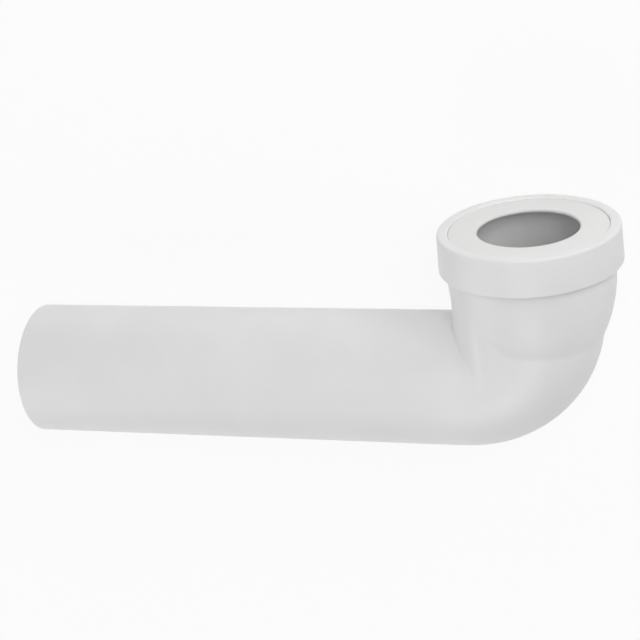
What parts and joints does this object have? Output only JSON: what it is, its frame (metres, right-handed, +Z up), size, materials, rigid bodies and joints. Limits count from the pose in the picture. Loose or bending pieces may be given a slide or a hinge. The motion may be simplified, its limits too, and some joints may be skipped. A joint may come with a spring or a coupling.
{
  "type": "bent toilet pan connector",
  "caption": "Right-angled toilet pan connector: long plain spigot pipe, short bend, flat-sided throat and a collared mouth with a soft lip seal.",
  "frame": {"origin": "centre of the bottom of the part's box, on the surface that it lies on", "axes": "-X along the spigot to its open end, +Z up, +Y with the mouth, whose axis rises 9 degrees from +Y because pipe and collar both touch the ground"},
  "size_m": [0.4654, 0.1784, 0.1325],
  "materials": {
    "body_plastic": "satin white moulded polypropylene",
    "ring_plastic": "satin white moulded polypropylene",
    "seal_rubber": "soft matt white elastomer"
  },
  "bodies": {
    "root": {"body": "body_plastic", "seal": "seal_rubber", "retaining_ring": "ring_plastic"}
  },
  "joints": []
}
